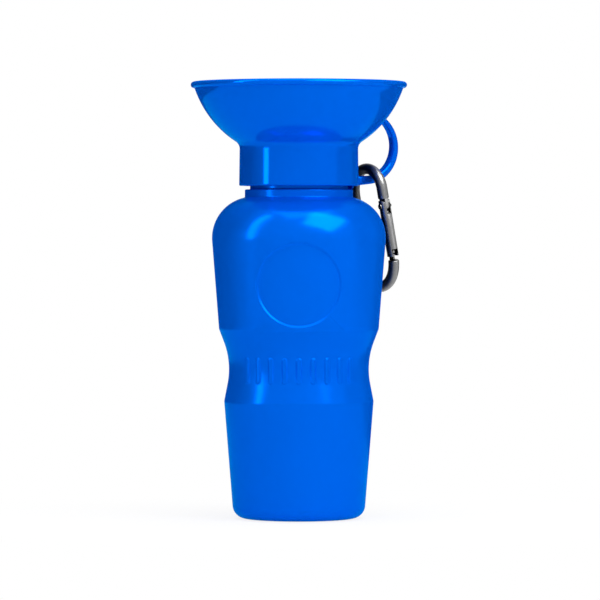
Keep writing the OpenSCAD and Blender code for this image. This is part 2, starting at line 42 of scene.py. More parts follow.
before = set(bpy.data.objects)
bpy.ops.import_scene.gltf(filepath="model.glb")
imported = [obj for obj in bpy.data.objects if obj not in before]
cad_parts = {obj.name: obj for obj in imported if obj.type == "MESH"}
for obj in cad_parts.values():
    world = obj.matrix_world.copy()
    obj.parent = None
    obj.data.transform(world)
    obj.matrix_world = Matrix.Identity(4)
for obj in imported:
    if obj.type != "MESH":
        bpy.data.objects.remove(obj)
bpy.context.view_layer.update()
BOTTLE_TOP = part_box("bottle_neck")[1].z


def length(name, description, default, low=0.0, high=1.0):
    return FloatProperty(name=name, description=description, default=default, min=low, max=high,
                         precision=5, subtype="DISTANCE", unit="LENGTH")


def angle(name, description, default):
    return FloatProperty(name=name, description=description, default=radians(default),
                         subtype="ANGLE", unit="ROTATION")


def tint(name, description, default):
    return FloatVectorProperty(name=name, description=description, default=default, size=3,
                               min=0.0, max=1.0, subtype="COLOR")


def share(name, description, default):
    return FloatProperty(name=name, description=description, default=default, min=0.0, max=1.0,
                         subtype="FACTOR")


# ---------------------------------------------------------------- sizes and colours

class BottleSizes(bpy.types.PropertyGroup):
    foot_radius: length("Standing radius", "Radius of the circle the bottle stands on", 0.0266)
    foot_rounding: length("Foot rounding", "Rounding between base and side", 0.0066)
    hollow_height: length("Base hollow", "Height of the hollow under the base", 0.0035)
    standing_width: length("Standing ring", "Width of the flat standing ring", 0.0054)
    low_crease_radius: length("Lower crease radius", "Radius where the grip starts", 0.03735)
    low_crease_height: length("Lower crease height", "Height where the grip starts", 0.0585)
    waist_radius: length("Waist radius", "Smallest radius of the grip", 0.03495)
    waist_height: length("Waist height", "Height of the smallest radius", 0.0745)
    waist_curve: length("Waist curve", "Radius of the grip's curve from the side", 0.038)
    high_crease_radius: length("Upper crease radius", "Radius where the grip ends", 0.0399)
    high_crease_height: length("Upper crease height", "Height where the grip ends", 0.0945)
    crease_rounding: length("Crease rounding", "Softening of both creases", 0.0045)
    body_radius: length("Body radius", "Largest radius, under the shoulder", 0.0434)
    shoulder_height: length("Shoulder height", "Height where the shoulder curves in", 0.140)
    shoulder_curve: length("Shoulder curve", "Radius of the shoulder's curve", 0.0207)
    wall: length("Wall", "Wall of the blown body", 0.0015)
    neck_radius: length("Neck radius", "Outer radius of the neck", 0.0244)
    neck_wall: length("Neck wall", "Wall of the neck", 0.0017)
    ring_rise: length("Ring rise", "Rise from the shoulder's edge to the ring", 0.001)
    ring_out: length("Ring width", "How far the ring stands out from the neck", 0.0026)
    ring_height: length("Ring height", "Thickness of the ring", 0.003)
    panel_diameter: length("Panel diameter", "Diameter of the round panel", 0.041)
    panel_height: length("Panel height", "Height of the panel's centre", 0.117)
    panel_depth: length("Panel depth", "Depth of the round panel", 0.0009)
    panel_rim: length("Panel rim", "Width over which the round panel steps down", 0.0016)
    rib_count: IntProperty(name="Ribs", description="Number of grip ribs", default=9, min=1, max=11)
    rib_width: length("Rib width", "Width of a grip rib", 0.0026)
    rib_height: length("Rib height", "Height of a grip rib", 0.013)
    rib_step: angle("Rib step", "Angle between two ribs", 11.5)
    rib_lift: length("Rib lift", "How far a rib stands out at its ends", 0.00035)
    thread_depth: length("Thread depth", "How far the thread stands out", 0.0019)
    thread_pitch: length("Thread pitch", "Rise of the thread in one turn", 0.005)
    thread_rise: length("Thread rise", "Height of the thread above the ring", 0.0046)


class LidSizes(bpy.types.PropertyGroup):
    rim_radius: length("Rim radius", "Outer radius of the bowl's rim", 0.054)
    bead_radius: length("Bead radius", "Radius of the round bead at the rim", 0.0016)
    lip_rounding: length("Lip rounding", "Rounding of the rim's inner edge", 0.0009)
    bowl_depth: length("Bowl depth", "Height of the rim above the drinking floor", 0.033)
    bowl_curve: length("Bowl curve", "Radius of the bowl's curve from the side", 0.05185)
    bowl_wall: length("Bowl wall", "Wall of the bowl", 0.002)
    bowl_sink: length("Bowl sink", "How far below the floor the bowl's curve would end", 0.0035)
    collar_top: length("Collar radius", "Outer radius of the collar under the bowl", 0.0296)
    collar_draft: length("Collar draft", "Radius gained down to the collar's edge", 0.00025)
    collar_wall: length("Collar wall", "Wall of the collar", 0.0024)
    collar_edge: length("Collar edge", "Height of the collar's open edge", 0.165996)
    collar_fillet: length("Collar fillet", "Concave fillet under the bowl", 0.0042)
    ceiling: length("Ceiling", "Height of the ceiling inside the collar", 0.182696)
    floor: length("Floor", "Height of the drinking floor", 0.184996)
    hole_radius: length("Hole radius", "Radius of the drinking hole", 0.007)
    seat_height: length("Seat height", "Length of the narrow seat of the hole", 0.0016)
    spigot_bore: length("Spigot bore", "Inner radius of the spigot", 0.0082)
    spigot_radius: length("Spigot radius", "Outer radius of the spigot", 0.01)
    spigot_length: length("Spigot length", "Length of the spigot under the ceiling", 0.0125)
    strap_width: length("Strap width", "Width of the carrying loop's strap", 0.0055)
    strap_curve: length("Strap curve", "Outer radius of the loop", 0.0185)
    strap_reach: length("Strap reach", "Distance from the axis to the outside of the loop", 0.057)
    strap_inner: length("Loop opening", "Radius of the loop's opening", 0.01525)
    strap_turn: angle("Loop direction", "Turned from the right to the back", 30)


class CarabinerSizes(bpy.types.PropertyGroup):
    bar: length("Bar", "Diameter of the carabiner's bar", 0.0055)
    top_bend: length("Top bend", "Distance from the hanging point to the gate's line", 0.0098)
    spine: length("Spine", "Distance from the hanging point to the spine", 0.0139)
    height: length("Height", "Distance between the end bars", 0.061)
    nose_bend: length("Nose bend", "Radius of the bend under the nose", 0.016)
    arm_end: length("Arm end", "Drop from the top to the end of the upper arm", 0.0154)
    nose_end: length("Nose end", "Drop from the top to the end of the nose", 0.0469)
    step_end: length("Step end", "Drop from the top to the end of the step on the nose", 0.0452)
    pin_drop: length("Pin drop", "Drop from the top to the gate's pin", 0.019)
    hang: FloatVectorProperty(name="Hanging point", description="Centre of the top bar",
                              default=(0.0342946, 0.0198, 0.174784), size=3, subtype="TRANSLATION",
                              unit="LENGTH", precision=6)
    lean: angle("Lean", "How far it leans out over the shoulder", 11.7214)
    facing: angle("Facing", "Turned from the right to the back", 36)


class Finishes(bpy.types.PropertyGroup):
    body_blue: tint("Body", "Colour of the soft blown body", (0.0, 0.118, 0.735))
    lid_blue: tint("Bowl", "Colour of the moulded bowl", (0.0, 0.118, 0.735))
    shine: tint("Shine", "Tint of the plastic's gloss at a low angle", (0.02, 0.95, 0.95))
    body_pearl: share("Body pearl", "Share of metallic pigment in the blown body", 0.28)
    lid_pearl: share("Bowl pearl", "Share of metallic pigment in the moulded bowl", 0.33)
    valve_white: tint("Valve", "Colour of the valve stem", (0.80, 0.82, 0.84))
    rubber: tint("Rubber", "Colour of the seal rings", (0.022, 0.024, 0.028))
    gasket: tint("Gasket", "Colour of the silicone gasket", (0.72, 0.76, 0.80))
    metal: tint("Metal", "Colour of the carabiner", (0.27, 0.27, 0.265))
    pin: tint("Pins", "Colour of the pins", (0.55, 0.55, 0.54))
    floor: tint("Floor", "Colour of the floor", (0.93, 0.93, 0.93))


# ---------------------------------------------------------------- outlines

def direction(angle):
    return Vector((cos(angle), sin(angle)))


def arc(centre, radius, start, end, steps):
    """Points of an arc in the section, angles in degrees."""
    return [Vector(centre) + radius * direction(radians(start + (end - start) * i / steps))
            for i in range(steps + 1)]


def between(start, end, rows):
    """Points that part a straight side into rows, without its ends."""
    return [start.lerp(end, k / rows) for k in range(1, rows)]


def touch_angle(centre, radius, point, side):
    """Angle, in degrees, at which a line from the point touches the circle. side is 1 or -1."""
    d = Vector(point) - Vector(centre)
    return degrees(atan2(d.y, d.x)) + side * degrees(acos(min(1.0, radius / d.length)))


def softened(points, radii, steps=6, support=0.0004, room=0.47):
    """An open outline whose corners named in radii are rounded. Each rounding takes no more room than
    its share of a side, and has a supporting point close beside it."""
    result = []
    for i, p in enumerate(points):
        r = radii.get(i, 0)
        if not r or i in (0, len(points) - 1):
            result.append(p)
            continue
        a, b = (points[i - 1] - p), (points[i + 1] - p)
        half = a.angle(b) / 2
        back = min(r / tan(half), room * min(a.length, b.length))
        r = back * tan(half)
        a.normalize()
        b.normalize()
        centre = p + (a + b).normalized() * (r / sin(half))
        first, last = p + a * back, p + b * back
        s, e = first - centre, last - centre
        sweep = s.angle_signed(e)
        turn = atan2(s.y, s.x)
        if (points[i - 1] - p).length > back + 3 * support:
            result.append(p + a * (back + support))
        result += [centre + r * direction(turn - sweep * k / steps) for k in range(steps + 1)]
        if (points[i + 1] - p).length > back + 3 * support:
            result.append(p + b * (back + support))
    return result


def offset(points, distance):
    """An open outline moved to its left, with mitred corners."""
    moved = []
    for i, p in enumerate(points):
        a = points[max(i, 1)] - points[max(i, 1) - 1]
        b = points[min(i, len(points) - 2) + 1] - points[min(i, len(points) - 2)]
        a, b = Vector((-a.y, a.x)).normalized(), Vector((-b.y, b.x)).normalized()
        moved.append(p + distance * (a + b) / (1 + a.dot(b)))
    return moved


# ---------------------------------------------------------------- mesh work

def spun(outline, steps):
    """New mesh work: an outline of (radius, height) points spun once round the bottle's axis."""
    bm = bmesh.new()
    verts = [bm.verts.new((p[0], 0, p[1])) for p in outline]
    edges = [bm.edges.new(pair) for pair in zip(verts, verts[1:])]
    bmesh.ops.spin(bm, geom=verts + edges, cent=(0, 0, 0), axis=(0, 0, 1), angle=2 * pi,
                   steps=steps, use_merge=True, dvec=(0, 0, 0))
    bmesh.ops.remove_doubles(bm, verts=bm.verts, dist=1e-7)
    bmesh.ops.recalc_face_normals(bm, faces=bm.faces)
    return bm


def grow_ring(bm, verts, places):
    """Extrudes a closed ring of vertices once and puts the new ring at the places given."""
    count = len(verts)
    edges = [bm.edges.get((verts[i], verts[(i + 1) % count])) for i in range(count)]
    made = bmesh.ops.extrude_edge_only(bm, edges=edges)["geom"]
    fresh = {v for v in made if isinstance(v, bmesh.types.BMVert)}
    ring = [next(e.other_vert(v) for e in v.link_edges if e.other_vert(v) in fresh) for v in verts]
    for v, place in zip(ring, places):
        v.co = place
    return ring


def loft(target, rings):
    """Skins a run of rings, each with as many points, closes both ends and adds it to the target."""
    bm = bmesh.new()
    first = [bm.verts.new(p) for p in rings[0]]
    for i, v in enumerate(first):
        bm.edges.new((v, first[(i + 1) % len(first)]))
    ring = first
    for places in rings[1:]:
        ring = grow_ring(bm, ring, places)
    for end in (first, ring):
        bmesh.ops.contextual_create(
            bm, geom=[bm.edges.get((v, end[(i + 1) % len(end)])) for i, v in enumerate(end)])
    bmesh.ops.recalc_face_normals(bm, faces=bm.faces)
    part = bpy.data.meshes.new("part")
    bm.to_mesh(part)
    bm.free()
    target.from_mesh(part)
    bpy.data.meshes.remove(part)


def linked_object(name, bm, material):
    """An object of finished mesh work with one material, put in the scene."""
    mesh = bpy.data.meshes.new(name)
    bm.to_mesh(mesh)
    bm.free()
    mesh.materials.append(material)
    obj = bpy.data.objects.new(name, mesh)
    bpy.context.scene.collection.objects.link(obj)
    return obj


def piece(name, bm, body, material, nodes, sharp=38, recalc=True):
    """Turns finished mesh work into an object that rides on a body and stands for its nodes. Edges
    that turn by more than sharp, in degrees, stay sharp."""
    if recalc:
        bmesh.ops.recalc_face_normals(bm, faces=bm.faces)
    obj = linked_object(name, bm, material)
    obj.data.shade_smooth()
    obj.data.set_sharp_from_angle(angle=radians(sharp))
    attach(obj, body)
    for node in nodes:
        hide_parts(node)


# ---------------------------------------------------------------- finishes

def opaque(colour):
    return (*colour[:3], 1.0)


def group_nodes(name, inputs, outputs):
    """A new shader node group whose inputs and outputs are named with their defaults: a number, or
    the three shares of a colour. Returns it with what it is given and its end node."""
    group = bpy.data.node_groups.new(name, "ShaderNodeTree")
    for way, sockets in (("INPUT", inputs), ("OUTPUT", outputs)):
        for label, value in sockets.items():
            coloured = isinstance(value, tuple)
            kind = "NodeSocketColor" if coloured else "NodeSocketFloat"
            made = group.interface.new_socket(name=label, in_out=way, socket_type=kind)
            made.default_value = opaque(value) if coloured else value
    return group, group.nodes.new("NodeGroupInput").outputs, group.nodes.new("NodeGroupOutput")


def add(tree, kind, inputs=None, **settings):
    """Adds a node; inputs holds sockets to link from, or values."""
    node = tree.nodes.new(kind)
    for key, value in settings.items():
        setattr(node, key, value)
    for key, value in (inputs or {}).items():
        if isinstance(value, bpy.types.NodeSocket):
            tree.links.new(value, node.inputs[key])
        else:
            node.inputs[key].default_value = value
    return node


def maths(tree, operation, a, b=0.5, clamp=False):
    return add(tree, "ShaderNodeMath", {0: a, 1: b}, operation=operation, use_clamp=clamp).outputs[0]


def plus(tree, a, b, clamp=False):
    return maths(tree, "ADD", a, b, clamp)


def minus(tree, a, b, clamp=False):
    return maths(tree, "SUBTRACT", a, b, clamp)


def times(tree, a, b, clamp=False):
    return maths(tree, "MULTIPLY", a, b, clamp)


def mixed(tree, factor, a, b):
    """Blends two colours. A Mix node keeps its colour sockets at 6, 7 and, as output, 2."""
    return add(tree, "ShaderNodeMix", {0: factor, 6: a, 7: b}, data_type="RGBA").outputs[2]


def own_place(tree):
    """Object coordinates, which stay with the piece."""
    return add(tree, "ShaderNodeTexCoord").outputs["Object"]


def noise(tree, place, scale, detail=2.0):
    return add(tree, "ShaderNodeTexNoise", {"Vector": place, "Scale": scale, "Detail": detail}).outputs[0]


def stretched(tree, place, scale, turn=(0.0, 0.0, 0.0)):
    return add(tree, "ShaderNodeMapping", {"Vector": place, "Scale": scale, "Rotation": turn}).outputs[0]


def ranged(tree, value, start, end, low=0.0, high=1.0):
    """Goes from low to high while the value goes from start to end, and no further."""
    return add(tree, "ShaderNodeMapRange", {"Value": value, "From Min": start, "From Max": end,
                                            "To Min": low, "To Max": high}).outputs[0]


def swing(tree, value, amount):
    """What a noise adds or takes away round its middle, times an amount."""
    return times(tree, minus(tree, value, 0.5), amount)


def surface_group(name, inputs):
    return group_nodes(name, inputs, {"Color": (0.0, 0.0, 0.0), "Roughness": 0.0, "Height": 0.0})


def put_out(group, out, colour, level, roughness, height):
    """Ends a surface group: its colour times a level, its roughness and its height."""
    scaled = add(group, "ShaderNodeVectorMath", {0: colour, "Scale": level}, operation="SCALE")
    for key, value in (("Color", scaled.outputs[0]), ("Roughness", roughness), ("Height", height)):
        group.links.new(value, out.inputs[key])
    return group


def moulded_surface():
    """Moulded plastic: slow colour drift, handling haze and scuffs, and a fine rippled skin."""
    group, given, out = surface_group("Moulded surface", {
        "Color": (0.0, 0.1, 0.8), "Drift": 0.06, "Roughness": 0.3, "Haze": 0.06, "Scuffs": 0.05,
        "Ripple": 0.1, "Grain": 0.03})
    streak_level, scuff_depth = 0.02, 0.02
    place = own_place(group)
    slow = noise(group, place, scale=26.0, detail=3.0)
    streak = noise(group, stretched(group, place, scale=(1.0, 1.0, 0.22)), scale=190.0)
    fine = noise(group, place, scale=2600.0)
    swell = noise(group, place, scale=95.0, detail=1.0)
    hairs = stretched(group, place, scale=(60.0, 900.0, 60.0), turn=(0.5, 0.9, 0.3))
    marks = ranged(group, noise(group, hairs, scale=1.0, detail=4.0), start=0.62, end=0.72)
    wear = times(group, marks, ranged(group, slow, start=0.45, end=0.65))
    level = times(group, swing(group, slow, given["Drift"]), 2.0)
    level = plus(group, plus(group, 1.0, level), swing(group, streak, streak_level))
    rough = plus(group, given["Roughness"], swing(group, streak, given["Haze"]))
    rough = plus(group, rough, times(group, wear, given["Scuffs"]), clamp=True)
    height = plus(group, times(group, fine, given["Grain"]), times(group, swell, given["Ripple"]))
    height = minus(group, height, times(group, wear, scuff_depth))
    return put_out(group, out, given["Color"], level, rough, height)


def parting_line():
    """A hair-thin moulding line where the two halves of the mould met, in the plane of X and Z."""
    group, given, out = group_nodes("Parting line", {"Width": 0.0003}, {"Height": 0.0})
    y = add(group, "ShaderNodeSeparateXYZ", {0: own_place(group)}).outputs["Y"]
    near = maths(group, "DIVIDE", maths(group, "ABSOLUTE", y), given["Width"])
    group.links.new(minus(group, 1.0, near, clamp=True), out.inputs["Height"])
    return group


def satin_metal():
    """Tumbled and dyed aluminium: fine pits, brushed drift, painted shade in hollows and rubbed edges."""
    group, given, out = surface_group("Satin metal", {
        "Color": (0.2, 0.2, 0.2), "Rubbed": (0.5, 0.5, 0.5), "Roughness": 0.35, "Wear": 0.5})
    patchiness, least_level, drift_level, brush_haze, rubbed_shine = 0.25, 0.8, 0.2, 0.25, 0.08
    place = own_place(group)
    drift = noise(group, place, scale=170.0, detail=4.0)
    pits = noise(group, place, scale=3800.0)
    along = stretched(group, place, scale=(1.0, 1.0, 0.08), turn=(0.2, 0.0, 0.63))
    brushed = noise(group, along, scale=2200.0)
    edges = add(group, "ShaderNodeNewGeometry").outputs["Pointiness"]
    rubbed = ranged(group, edges, start=0.52, end=0.62)
    rubbed = times(group, rubbed, plus(group, drift, patchiness), clamp=True)
    rubbed = times(group, rubbed, given["Wear"], clamp=True)
    colour = mixed(group, rubbed, given["Color"], given["Rubbed"])
    level = times(group, plus(group, drift, brushed), drift_level)
    level = plus(group, least_level, level)
    # Painted shade: the colour darkens where ambient occlusion finds nearby surfaces, such as the bottle
    # beside the carabiner and the gaps of the gate's fork.
    painted_shade_ao = add(group, "ShaderNodeAmbientOcclusion", {"Distance": 0.02}, samples=8).outputs["AO"]
    level = times(group, level, ranged(group, painted_shade_ao, start=0.38, end=0.92))
    rough = plus(group, given["Roughness"], swing(group, brushed, brush_haze))
    rough = minus(group, rough, times(group, rubbed, rubbed_shine), clamp=True)
    height = plus(group, times(group, pits, 0.5), times(group, brushed, 0.5))
    return put_out(group, out, colour, level, rough, height)


def shared(name, build):
    return bpy.data.node_groups.get(name) or build()


def bare_material(name):
    material = bpy.data.materials.new(name)
    material.use_nodes = True
    tree = material.node_tree
    return material, tree, tree.nodes["Principled BSDF"]


def finish_surface(tree, surface, effect, strength, distance, more_height=None):
    """Feeds a surface group's colour, roughness and bump into the Principled shader."""
    tree.links.new(effect.outputs["Color"], surface.inputs["Base Color"])
    tree.links.new(effect.outputs["Roughness"], surface.inputs["Roughness"])
    height = effect.outputs["Height"]
    if more_height is not None:
        height = plus(tree, height, more_height)
    bump = add(tree, "ShaderNodeBump", {"Strength": strength, "Distance": distance, "Height": height})
    tree.links.new(bump.outputs[0], surface.inputs["Normal"])


def plastic(name, colour, roughness, drift=0.06, haze=0.06, scuffs=0.06, ripple=0.5, grain=0.04,
            shine=None, seam=0.0, level=0.5, pearl=0.0, through=0.0):
    """A moulded plastic. seam is the height of its parting line, level the strength of its plain
    gloss, pearl its share of metallic pigment and through how clear it is."""
    material, tree, surface = bare_material(name)
    effect = add(tree, "ShaderNodeGroup", {
        "Color": opaque(colour), "Drift": drift, "Roughness": roughness, "Haze": haze,
        "Scuffs": scuffs, "Ripple": ripple, "Grain": grain},
        node_tree=shared("Moulded surface", moulded_surface))
    line = None
    if seam:
        line = add(tree, "ShaderNodeGroup", node_tree=shared("Parting line", parting_line)).outputs[0]
        line = times(tree, line, seam)
    finish_surface(tree, surface, effect, strength=1.0, distance=0.00012, more_height=line)
    surface.inputs["Specular IOR Level"].default_value = level
    surface.inputs["Metallic"].default_value = pearl
    surface.inputs["Transmission Weight"].default_value = through
    if shine:
        surface.inputs["Specular Tint"].default_value = opaque(shine)
    return material


def metal(name, colour, rubbed, roughness, wear=0.6, bare=1.0):
    """A satin metal whose edges are rubbed to a second colour. bare is how metallic it is."""
    material, tree, surface = bare_material(name)
    effect = add(tree, "ShaderNodeGroup", {
        "Color": opaque(colour), "Rubbed": opaque(rubbed), "Roughness": roughness, "Wear": wear},
        node_tree=shared("Satin metal", satin_metal))
    finish_surface(tree, surface, effect, strength=0.6, distance=0.00004)
    surface.inputs["Metallic"].default_value = bare
    return material


# ---------------------------------------------------------------- the bottle

def shoulder_start(s):
    """Upper crease, shoulder centre and the angle at which the straight side meets the shoulder."""
    high = Vector((s.high_crease_radius, s.high_crease_height))
    shoulder = Vector((s.body_radius - s.shoulder_curve, s.shoulder_height))
    return high, shoulder, touch_angle(shoulder, s.shoulder_curve, high, 1)


def body_outline(s):
    """Outside of the blown body, from the middle of the base to the edge of the shoulder, with the
    roundings of its corners."""
    base_rounding, row_height = 0.0012, 0.0014
    hollow_edge = s.foot_radius - s.standing_width
    hollow_curve = (hollow_edge ** 2 + s.hollow_height ** 2) / (2 * s.hollow_height)
    spread = degrees(asin(hollow_edge / hollow_curve))
    foot = Vector((s.foot_radius, s.foot_rounding))
    low = Vector((s.low_crease_radius, s.low_crease_height))
    waist = Vector((s.waist_radius + s.waist_curve, s.waist_height))
    high, shoulder, touch = shoulder_start(s)
    end = degrees(acos((s.neck_radius + s.ring_out - shoulder.x) / s.shoulder_curve))
    base = arc((0, s.hollow_height - hollow_curve), hollow_curve, 90, 90 - spread, steps=7)
    foot_turn = arc(foot, s.foot_rounding, -90, touch_angle(foot, s.foot_rounding, low, -1), steps=12)
    side = between(foot_turn[-1], low, rows=18)
    grip = arc(waist, s.waist_curve, touch_angle(waist, s.waist_curve, low, -1) + 360,
               touch_angle(waist, s.waist_curve, high, 1), steps=22)
    top = arc(shoulder, s.shoulder_curve, touch, end, steps=26)
    upper = between(high, top[0], rows=max(3, round((top[0] - high).length / row_height)))
    points = base + foot_turn + side + [low] + grip + [high] + upper + top
    low_place = len(base + foot_turn + side)
    creases = {len(base) - 1: base_rounding, low_place: s.crease_rounding,
               low_place + 1 + len(grip): s.crease_rounding}
    return points, creases


def side_radius(s, z):
    """Radius of the straight side between the upper crease and the shoulder."""
    high, shoulder, touch = shoulder_start(s)
    top = shoulder + s.shoulder_curve * direction(radians(touch))
    return high.x + (top.x - high.x) * (z - high.y) / (top.y - high.y)


def waist_surface(s, z):
    """Radius of the grip's curve at a height."""
    return s.waist_radius + s.waist_curve - sqrt(s.waist_curve ** 2 - (z - s.waist_height) ** 2)


def smooth_step(x):
    """Goes softly from 0 to 1, as x does."""
    x = min(1.0, max(0.0, x))
    return x * x * (3 - 2 * x)


def ordered_boundary(bm):
    """The one open edge loop of the mesh as an ordered ring of vertices."""
    open_edges = [e for e in bm.edges if e.is_boundary]
    first = open_edges[0].verts[0]
    ring, last = [first], None
    while True:
        edge = next(e for e in ring[-1].link_edges if e.is_boundary and e is not last)
        last = edge
        following = edge.other_vert(ring[-1])
        if following is first:
            return ring
        ring.append(following)


def sink_panel(bm, s):
    """Cuts the round panel's place out of the front and rebuilds it as rings that step down."""
    margin, step_rows, flat_rows = 0.0024, 10, (0.96, 0.88, 0.78, 0.62, 0.45, 0.28, 0.12)
    reach = s.panel_diameter / 2 + margin
    faces = []
    for face in bm.faces:
        c = face.calc_center_median()
        if (c.y < 0 and abs(c.x) < reach and abs(c.z - s.panel_height) < reach
                and hypot(c.x, c.y) > side_radius(s, c.z) - s.wall / 2):
            faces.append(face)
    bmesh.ops.delete(bm, geom=faces, context="FACES")
    ring = ordered_boundary(bm)
    turns = [atan2(v.co.z - s.panel_height, v.co.x) for v in ring]
    edge, half = s.panel_diameter / 2, s.panel_rim / 2
    steps = [(edge + half * (1 - 2 * k / step_rows), smooth_step(k / step_rows))
             for k in range(step_rows + 1)]
    steps += [((edge - half) * part, 1.0) for part in flat_rows]
    for radius, depth in steps:
        places = []
        for turn in turns:
            x, z = radius * cos(turn), s.panel_height + radius * sin(turn)
            r = side_radius(s, z) - s.panel_depth * depth
            places.append((x, -sqrt(r * r - x * x), z))
        ring = grow_ring(bm, ring, places)
    middle = (0, s.panel_depth - side_radius(s, s.panel_height), s.panel_height)
    bmesh.ops.pointmerge(bm, verts=ring, merge_co=middle)


def raise_ribs(bm, s):
    """Refines the front of the waist and lifts the upright grip ribs out of it."""
    refined, moved = radians(4), radians(4.5)
    skirt, fade = 0.0003, 0.0009
    span = s.rib_step * (s.rib_count - 1) / 2
    half = (s.rib_height - s.rib_width) / 2
    margin = s.rib_width / 2 / s.waist_radius

    def on_front(point, extra):
        return (abs(atan2(point.x, -point.y)) < span + margin + extra
                and abs(point.z - s.waist_height) < s.rib_height / 2 + extra * s.waist_radius
                and hypot(point.x, point.y) > waist_surface(s, point.z) - s.wall / 2)

    faces = [f for f in bm.faces if on_front(f.calc_center_median(), refined)]
    edges = list(dict.fromkeys(e for f in faces for e in f.edges))
    bmesh.ops.subdivide_edges(bm, edges=edges, cuts=3, use_grid_fill=True)
    crest = waist_surface(s, s.waist_height + s.rib_height / 2) + s.rib_lift
    for v in bm.verts:
        if not on_front(v.co, moved):
            continue
        turn = atan2(v.co.x, -v.co.y)
        number = min(s.rib_count - 1, max(0, round((turn + span) / s.rib_step)))
        across = abs(turn - (number * s.rib_step - span)) * s.waist_radius
        out = hypot(across, max(0.0, abs(v.co.z - s.waist_height) - half))
        r = waist_surface(s, v.co.z)
        r += (crest - r) * smooth_step((s.rib_width / 2 + skirt - out) / fade)
        v.co.x, v.co.y = r * sin(turn), -r * cos(turn)


def thread_ridge(bm, root, crest, root_width, crest_width, height, start, turns, pitch):
    """A screw thread's ridge between two radii, tapering into its wall at both ends."""
    sunk, proud, run_out = 0.0006, 0.00002, radians(24)
    softness, slope, steps_a_turn = 0.22, 0.4, 48
    steps = round(turns * steps_a_turn)
    outward = 1 if crest > root else -1
    base, low, high = root - outward * sunk, -crest_width / 2, crest_width / 2
    rings = []
    for i in range(steps + 1):
        turn = start + 2 * pi * turns * i / steps
        rise = smooth_step((min(i, steps - i) * 2 * pi * turns / steps) / run_out)
        top = root + outward * proud + (crest - root) * rise
        soft = softness * abs(crest - root) * rise
        section = ((base, -root_width / 2), (top - outward * soft, low - soft * slope),
                   (top, low + soft), (top, high - soft),
                   (top - outward * soft, high + soft * slope), (base, root_width / 2))
        rings.append([(r * cos(turn), r * sin(turn), height + pitch * turn / (2 * pi) + z)
                      for r, z in section])
    loft(bm, rings)


class BOTTLE_OT_body(bpy.types.Operator):
    """Builds the blown bottle with its round panel, grip ribs, neck ring and thread"""
    bl_idname = "bottle.make_body"
    bl_label = "Bottle"

    def execute(self, context):
        s = context.scene.bottle_sizes
        colours = context.scene.bottle_finishes
        outer, radii = body_outline(s)
        ring_z = outer[-1].y + s.ring_rise
        neck_z = ring_z + s.ring_height
        bore = s.neck_radius - s.neck_wall
        neck = [Vector(p) for p in (
            (s.neck_radius + s.ring_out, ring_z), (s.neck_radius + s.ring_out, neck_z),
            (s.neck_radius, neck_z), (s.neck_radius, BOTTLE_TOP), (bore, BOTTLE_TOP))]
        neck_roundings = (0.0007, 0, 0.0006, 0.0005, 0.0004, 0.0004)
        radii.update((len(outer) - 1 + k, r) for k, r in enumerate(neck_roundings))
        axis_gap, mouth_lift = 1e-5, 0.0001
        inside = [p for p in offset(outer, s.wall)
                  if p.x > axis_gap and not (p.x < bore and p.y > s.shoulder_height)]
        inside = [Vector((0, inside[0].y))] + inside + [Vector((bore, inside[-1].y + mouth_lift))]
        bm = spun(softened(outer + neck, radii) + inside[::-1], steps=240)
        sink_panel(bm, s)
        raise_ribs(bm, s)
        thread_ridge(bm, s.neck_radius, s.neck_radius + s.thread_depth, root_width=0.0026,
                     crest_width=0.0012, height=neck_z + s.thread_rise, start=radians(4), turns=1.5,
                     pitch=s.thread_pitch)
        blue = plastic("blown_blue", colours.body_blue, roughness=0.2, drift=0.05, ripple=1.1,
                       grain=0.05, shine=colours.shine, seam=0.35, level=0.0,
                       pearl=colours.body_pearl)
        piece("bottle_shell", bm, "bottle", blue, ["bottle", "bottle_neck"])
        return {"FINISHED"}


# ---------------------------------------------------------------- the bowl lid

